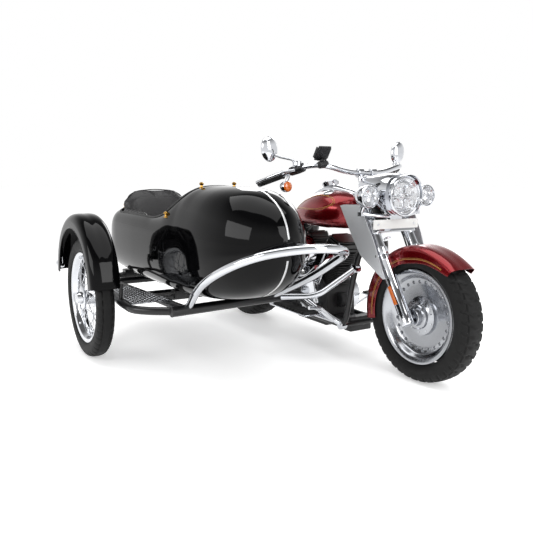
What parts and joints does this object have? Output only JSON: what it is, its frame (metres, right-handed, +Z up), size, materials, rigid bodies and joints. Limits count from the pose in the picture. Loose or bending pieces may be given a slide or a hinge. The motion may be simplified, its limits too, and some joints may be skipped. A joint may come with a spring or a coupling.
{
  "type": "motorcycle with sidecar",
  "caption": "Cruiser motorcycle with a V-twin engine and a single-seat sidecar on its right-hand side, with steering, turning wheels, a boot lid and a side stand.",
  "frame": {"origin": "centre of the bounding box in plan, on the ground", "axes": "+X forward, +Y to the rider's left, +Z up; the sidecar is on -Y"},
  "size_m": [2.399, 1.85, 1.187],
  "materials": {
    "frame_paint": "satin",
    "red_paint": "gloss",
    "black_paint": "gloss",
    "chrome": "gloss",
    "aluminium": "satin",
    "crackle": "matte",
    "steel": "satin",
    "rubber": "matte",
    "tyre": "matte",
    "leather": "satin",
    "plate": "gloss",
    "red_lens": "gloss",
    "amber_lens": "gloss",
    "lamp_glass": "gloss",
    "plastic": "matte"
  },
  "bodies": {
    "chassis": {"main_frame": "frame_paint", "steering_head": "frame_paint", "swingarm": "frame_paint", "rear_axle": "steel", "crankcase": "crackle", "cylinders": "crackle", "air_cleaner": "chrome", "exhaust_pipes": "chrome", "oil_tank": "frame_paint", "footboards": "rubber", "fuel_tank": "red_paint", "tank_console": "chrome", "rider_seat": "leather", "passenger_seat": "leather", "rear_fender": "red_paint", "tail_lamp": "red_lens", "rear_number_plate": "plate", "drive_belt": "rubber", "stand_bracket": "frame_paint", "sidecar_chassis": "frame_paint", "sidecar_struts": "chrome", "sidecar_suspension_arm": "frame_paint", "sidecar_axle": "steel", "sidecar_fender": "black_paint", "sidecar_lamps": "red_lens", "step_plate": "aluminium", "sidecar_body": "black_paint", "sidecar_cushion": "leather", "sidecar_backrest": "leather", "sidecar_bumper": "chrome"},
    "steering": {"triple_clamps": "chrome", "fork_legs": "chrome", "front_axle": "steel", "front_fender": "red_paint", "wind_deflectors": "aluminium", "headlamp_nacelle": "chrome", "headlamp": "lamp_glass", "passing_lamps": "chrome", "front_number_plate": "plate", "handlebar": "chrome", "hand_controls": "plastic", "mirrors": "chrome", "front_turn_signals": "amber_lens", "phone_holder": "plastic"},
    "front_wheel": {"front_rim": "aluminium", "front_tyre": "tyre"},
    "rear_wheel": {"rear_rim": "aluminium", "rear_tyre": "tyre"},
    "sidecar_wheel": {"side_rim": "aluminium", "side_hub": "aluminium", "side_spokes": "steel", "side_tyre": "tyre"},
    "boot_lid": {"boot_lid": "black_paint"},
    "side_stand": {"side_stand": "chrome"}
  },
  "joints": [
    {"name": "steering", "type": "hinge", "parent": "chassis", "child": "steering", "pos_m": [0.54123, 0.425, 0.775], "axis": [-0.5299, 0, 0.848], "range_deg": [-28, 28]},
    {"name": "front_wheel_spin", "type": "hinge", "parent": "steering", "child": "front_wheel", "pos_m": [0.8785, 0.425, 0.321], "axis": [0, 1, 0], "continuous": true},
    {"name": "rear_wheel_spin", "type": "hinge", "parent": "chassis", "child": "rear_wheel", "pos_m": [-0.7595, 0.425, 0.326], "axis": [0, 1, 0], "continuous": true},
    {"name": "sidecar_wheel_spin", "type": "hinge", "parent": "chassis", "child": "sidecar_wheel", "pos_m": [-0.3425, -0.847, 0.324], "axis": [0, 1, 0], "continuous": true},
    {"name": "boot_lid_hinge", "type": "hinge", "parent": "chassis", "child": "boot_lid", "pos_m": [-0.8135, -0.305, 0.798], "axis": [0, 1, 0], "range_deg": [0, 80]},
    {"name": "side_stand_hinge", "type": "hinge", "parent": "chassis", "child": "side_stand", "pos_m": [0.0005, 0.591, 0.163], "axis": [0, -1, 0], "range_deg": [0, 95]}
  ]
}
